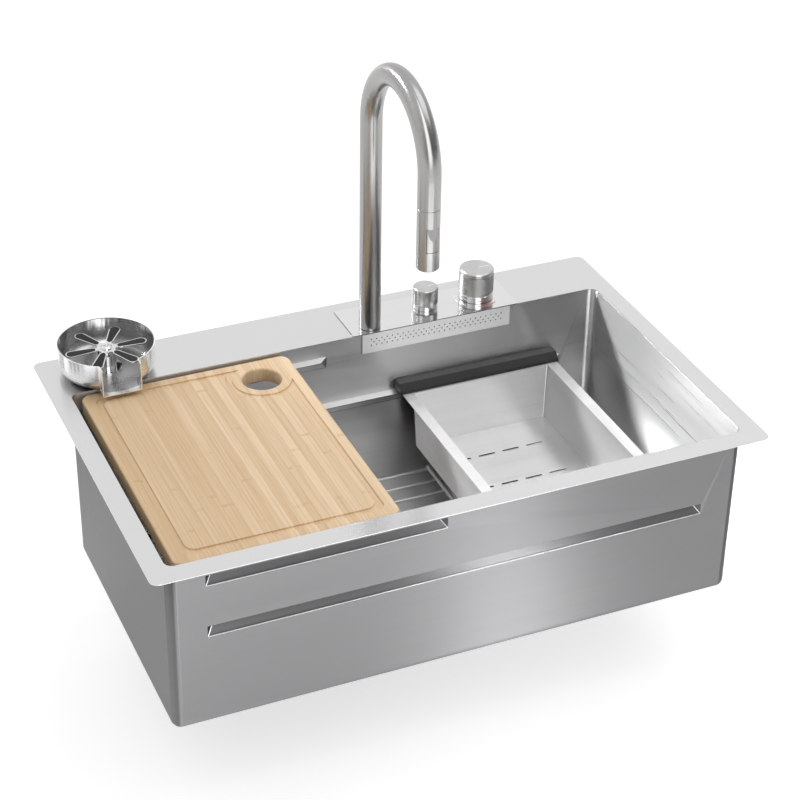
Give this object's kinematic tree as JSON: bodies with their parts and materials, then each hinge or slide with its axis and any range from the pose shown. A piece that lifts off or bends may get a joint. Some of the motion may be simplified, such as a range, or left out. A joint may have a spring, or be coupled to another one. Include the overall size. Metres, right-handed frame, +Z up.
{
  "type": "kitchen sink with tap panel",
  "caption": "Drop-in steel kitchen sink with a rear tap panel, swivel pull-down tap, waterfall outlet, cup rinser, sliding cutting board, colander and bottom grid.",
  "frame": {"origin": "middle of the rim, on the worktop plane under the rim's seal", "axes": "+X to the right along the rim, +Y to the rear deck, +Z up"},
  "size_m": [0.75, 0.4906, 0.7269],
  "materials": {
    "steel_sheet": "fine brushed sheet",
    "steel_satin": "satin turned steel",
    "steel_polished": "polished",
    "brass": "machined",
    "rubber_black": "matt",
    "rubber_grey": "matt",
    "plastic_black": "satin",
    "plastic_grey": "satin",
    "red_paint": "gloss",
    "blue_paint": "gloss",
    "bamboo": "oiled"
  },
  "bodies": {
    "sink": {"rim_deck": "steel_sheet", "rim_seal": "rubber_black", "bowl": "steel_sheet", "damping_pads": "rubber_grey", "drain_body": "steel_polished", "drain_spud": "steel_polished", "drain_gasket": "rubber_black", "drain_locknut": "plastic_grey", "drain_tailpiece": "plastic_grey", "drain_slip_nut": "plastic_grey", "tap_panel": "steel_sheet", "waterfall_face": "steel_sheet", "waterfall_chamber": "plastic_grey", "waterfall_pipe": "brass", "valve_body": "brass", "valve_gasket": "rubber_black", "diverter_ring": "steel_polished", "diverter_cartridge": "plastic_grey", "mixer_ring": "steel_polished", "mixer_cartridge": "plastic_grey", "hot_mark": "red_paint", "cold_mark": "blue_paint", "swivel_post": "brass", "swivel_ring": "plastic_black", "riser_washer": "steel_polished", "riser_nut": "brass", "rinser_base": "rubber_black", "rinser_cup": "steel_polished", "rinser_valve": "steel_polished", "rinser_washer": "steel_polished", "rinser_nut": "brass", "rinser_spring": "steel_polished"},
    "strainer": {"strainer_basket": "steel_polished", "strainer_knob": "steel_polished", "strainer_stopper": "rubber_black"},
    "diverter": {"diverter_knob": "steel_satin", "diverter_stem": "brass"},
    "mixer": {"mixer_grip": "steel_satin", "mixer_cap": "steel_satin", "mixer_stem": "brass"},
    "spout": {"gooseneck": "steel_satin", "docking_collar": "plastic_black"},
    "spray_head": {"spray_body": "steel_satin", "spray_face": "plastic_black", "aerator": "plastic_grey", "rocker_pin": "steel_polished"},
    "spray_button": {"rocker_button": "steel_satin"},
    "rinser_press": {"rinser_stem": "steel_polished", "rinser_star": "steel_polished", "rinser_pads": "rubber_black", "rinser_screw": "steel_polished"},
    "board": {"cutting_board": "bamboo"},
    "colander": {"colander_tray": "steel_sheet", "colander_rear_rail": "plastic_black", "colander_front_rail": "plastic_black"},
    "grid": {"grid_wires": "steel_polished", "grid_feet": "rubber_black"}
  },
  "joints": [
    {"name": "spout_swivel", "type": "hinge", "parent": "sink", "child": "spout", "pos_m": [0.041, 0.171, 0.03], "axis": [0, 0, 1], "range_deg": [-90, 90]},
    {"name": "spray_pull", "type": "slide", "parent": "spout", "child": "spray_head", "axis": [0, 0, -1], "range_m": [0, 0.11]},
    {"name": "button_rock", "type": "hinge", "parent": "spray_head", "child": "spray_button", "pos_m": [0.041, -0.0091, 0.2138], "axis": [1, 0, 0], "range_deg": [0, 8]},
    {"name": "diverter_turn", "type": "hinge", "parent": "sink", "child": "diverter", "pos_m": [0.126, 0.1915, 0.02], "axis": [0, 0, 1], "range_deg": [-90, 90]},
    {"name": "mixer_turn", "type": "hinge", "parent": "sink", "child": "mixer", "pos_m": [0.1975, 0.1915, 0.03], "axis": [0, 0, 1], "range_deg": [-60, 60]},
    {"name": "rinser_push", "type": "slide", "parent": "sink", "child": "rinser_press", "axis": [0, 0, -1], "range_m": [0, 0.004], "stiffness_N_per_m": 1500, "springref_m": -0.003, "deforming": ["rinser_spring"]},
    {"name": "board_slide", "type": "slide", "parent": "sink", "child": "board", "axis": [1, 0, 0], "range_m": [-0.009, 0.05]},
    {"name": "colander_slide", "type": "slide", "parent": "sink", "child": "colander", "axis": [1, 0, 0], "range_m": [-0.36, 0.045]},
    {"name": "grid_lift", "type": "slide", "parent": "sink", "child": "grid", "axis": [0, 0, 1], "range_m": [0, 0.03]},
    {"name": "strainer_lift", "type": "slide", "parent": "sink", "child": "strainer", "axis": [0, 0, 1], "range_m": [0, 0.03]}
  ]
}
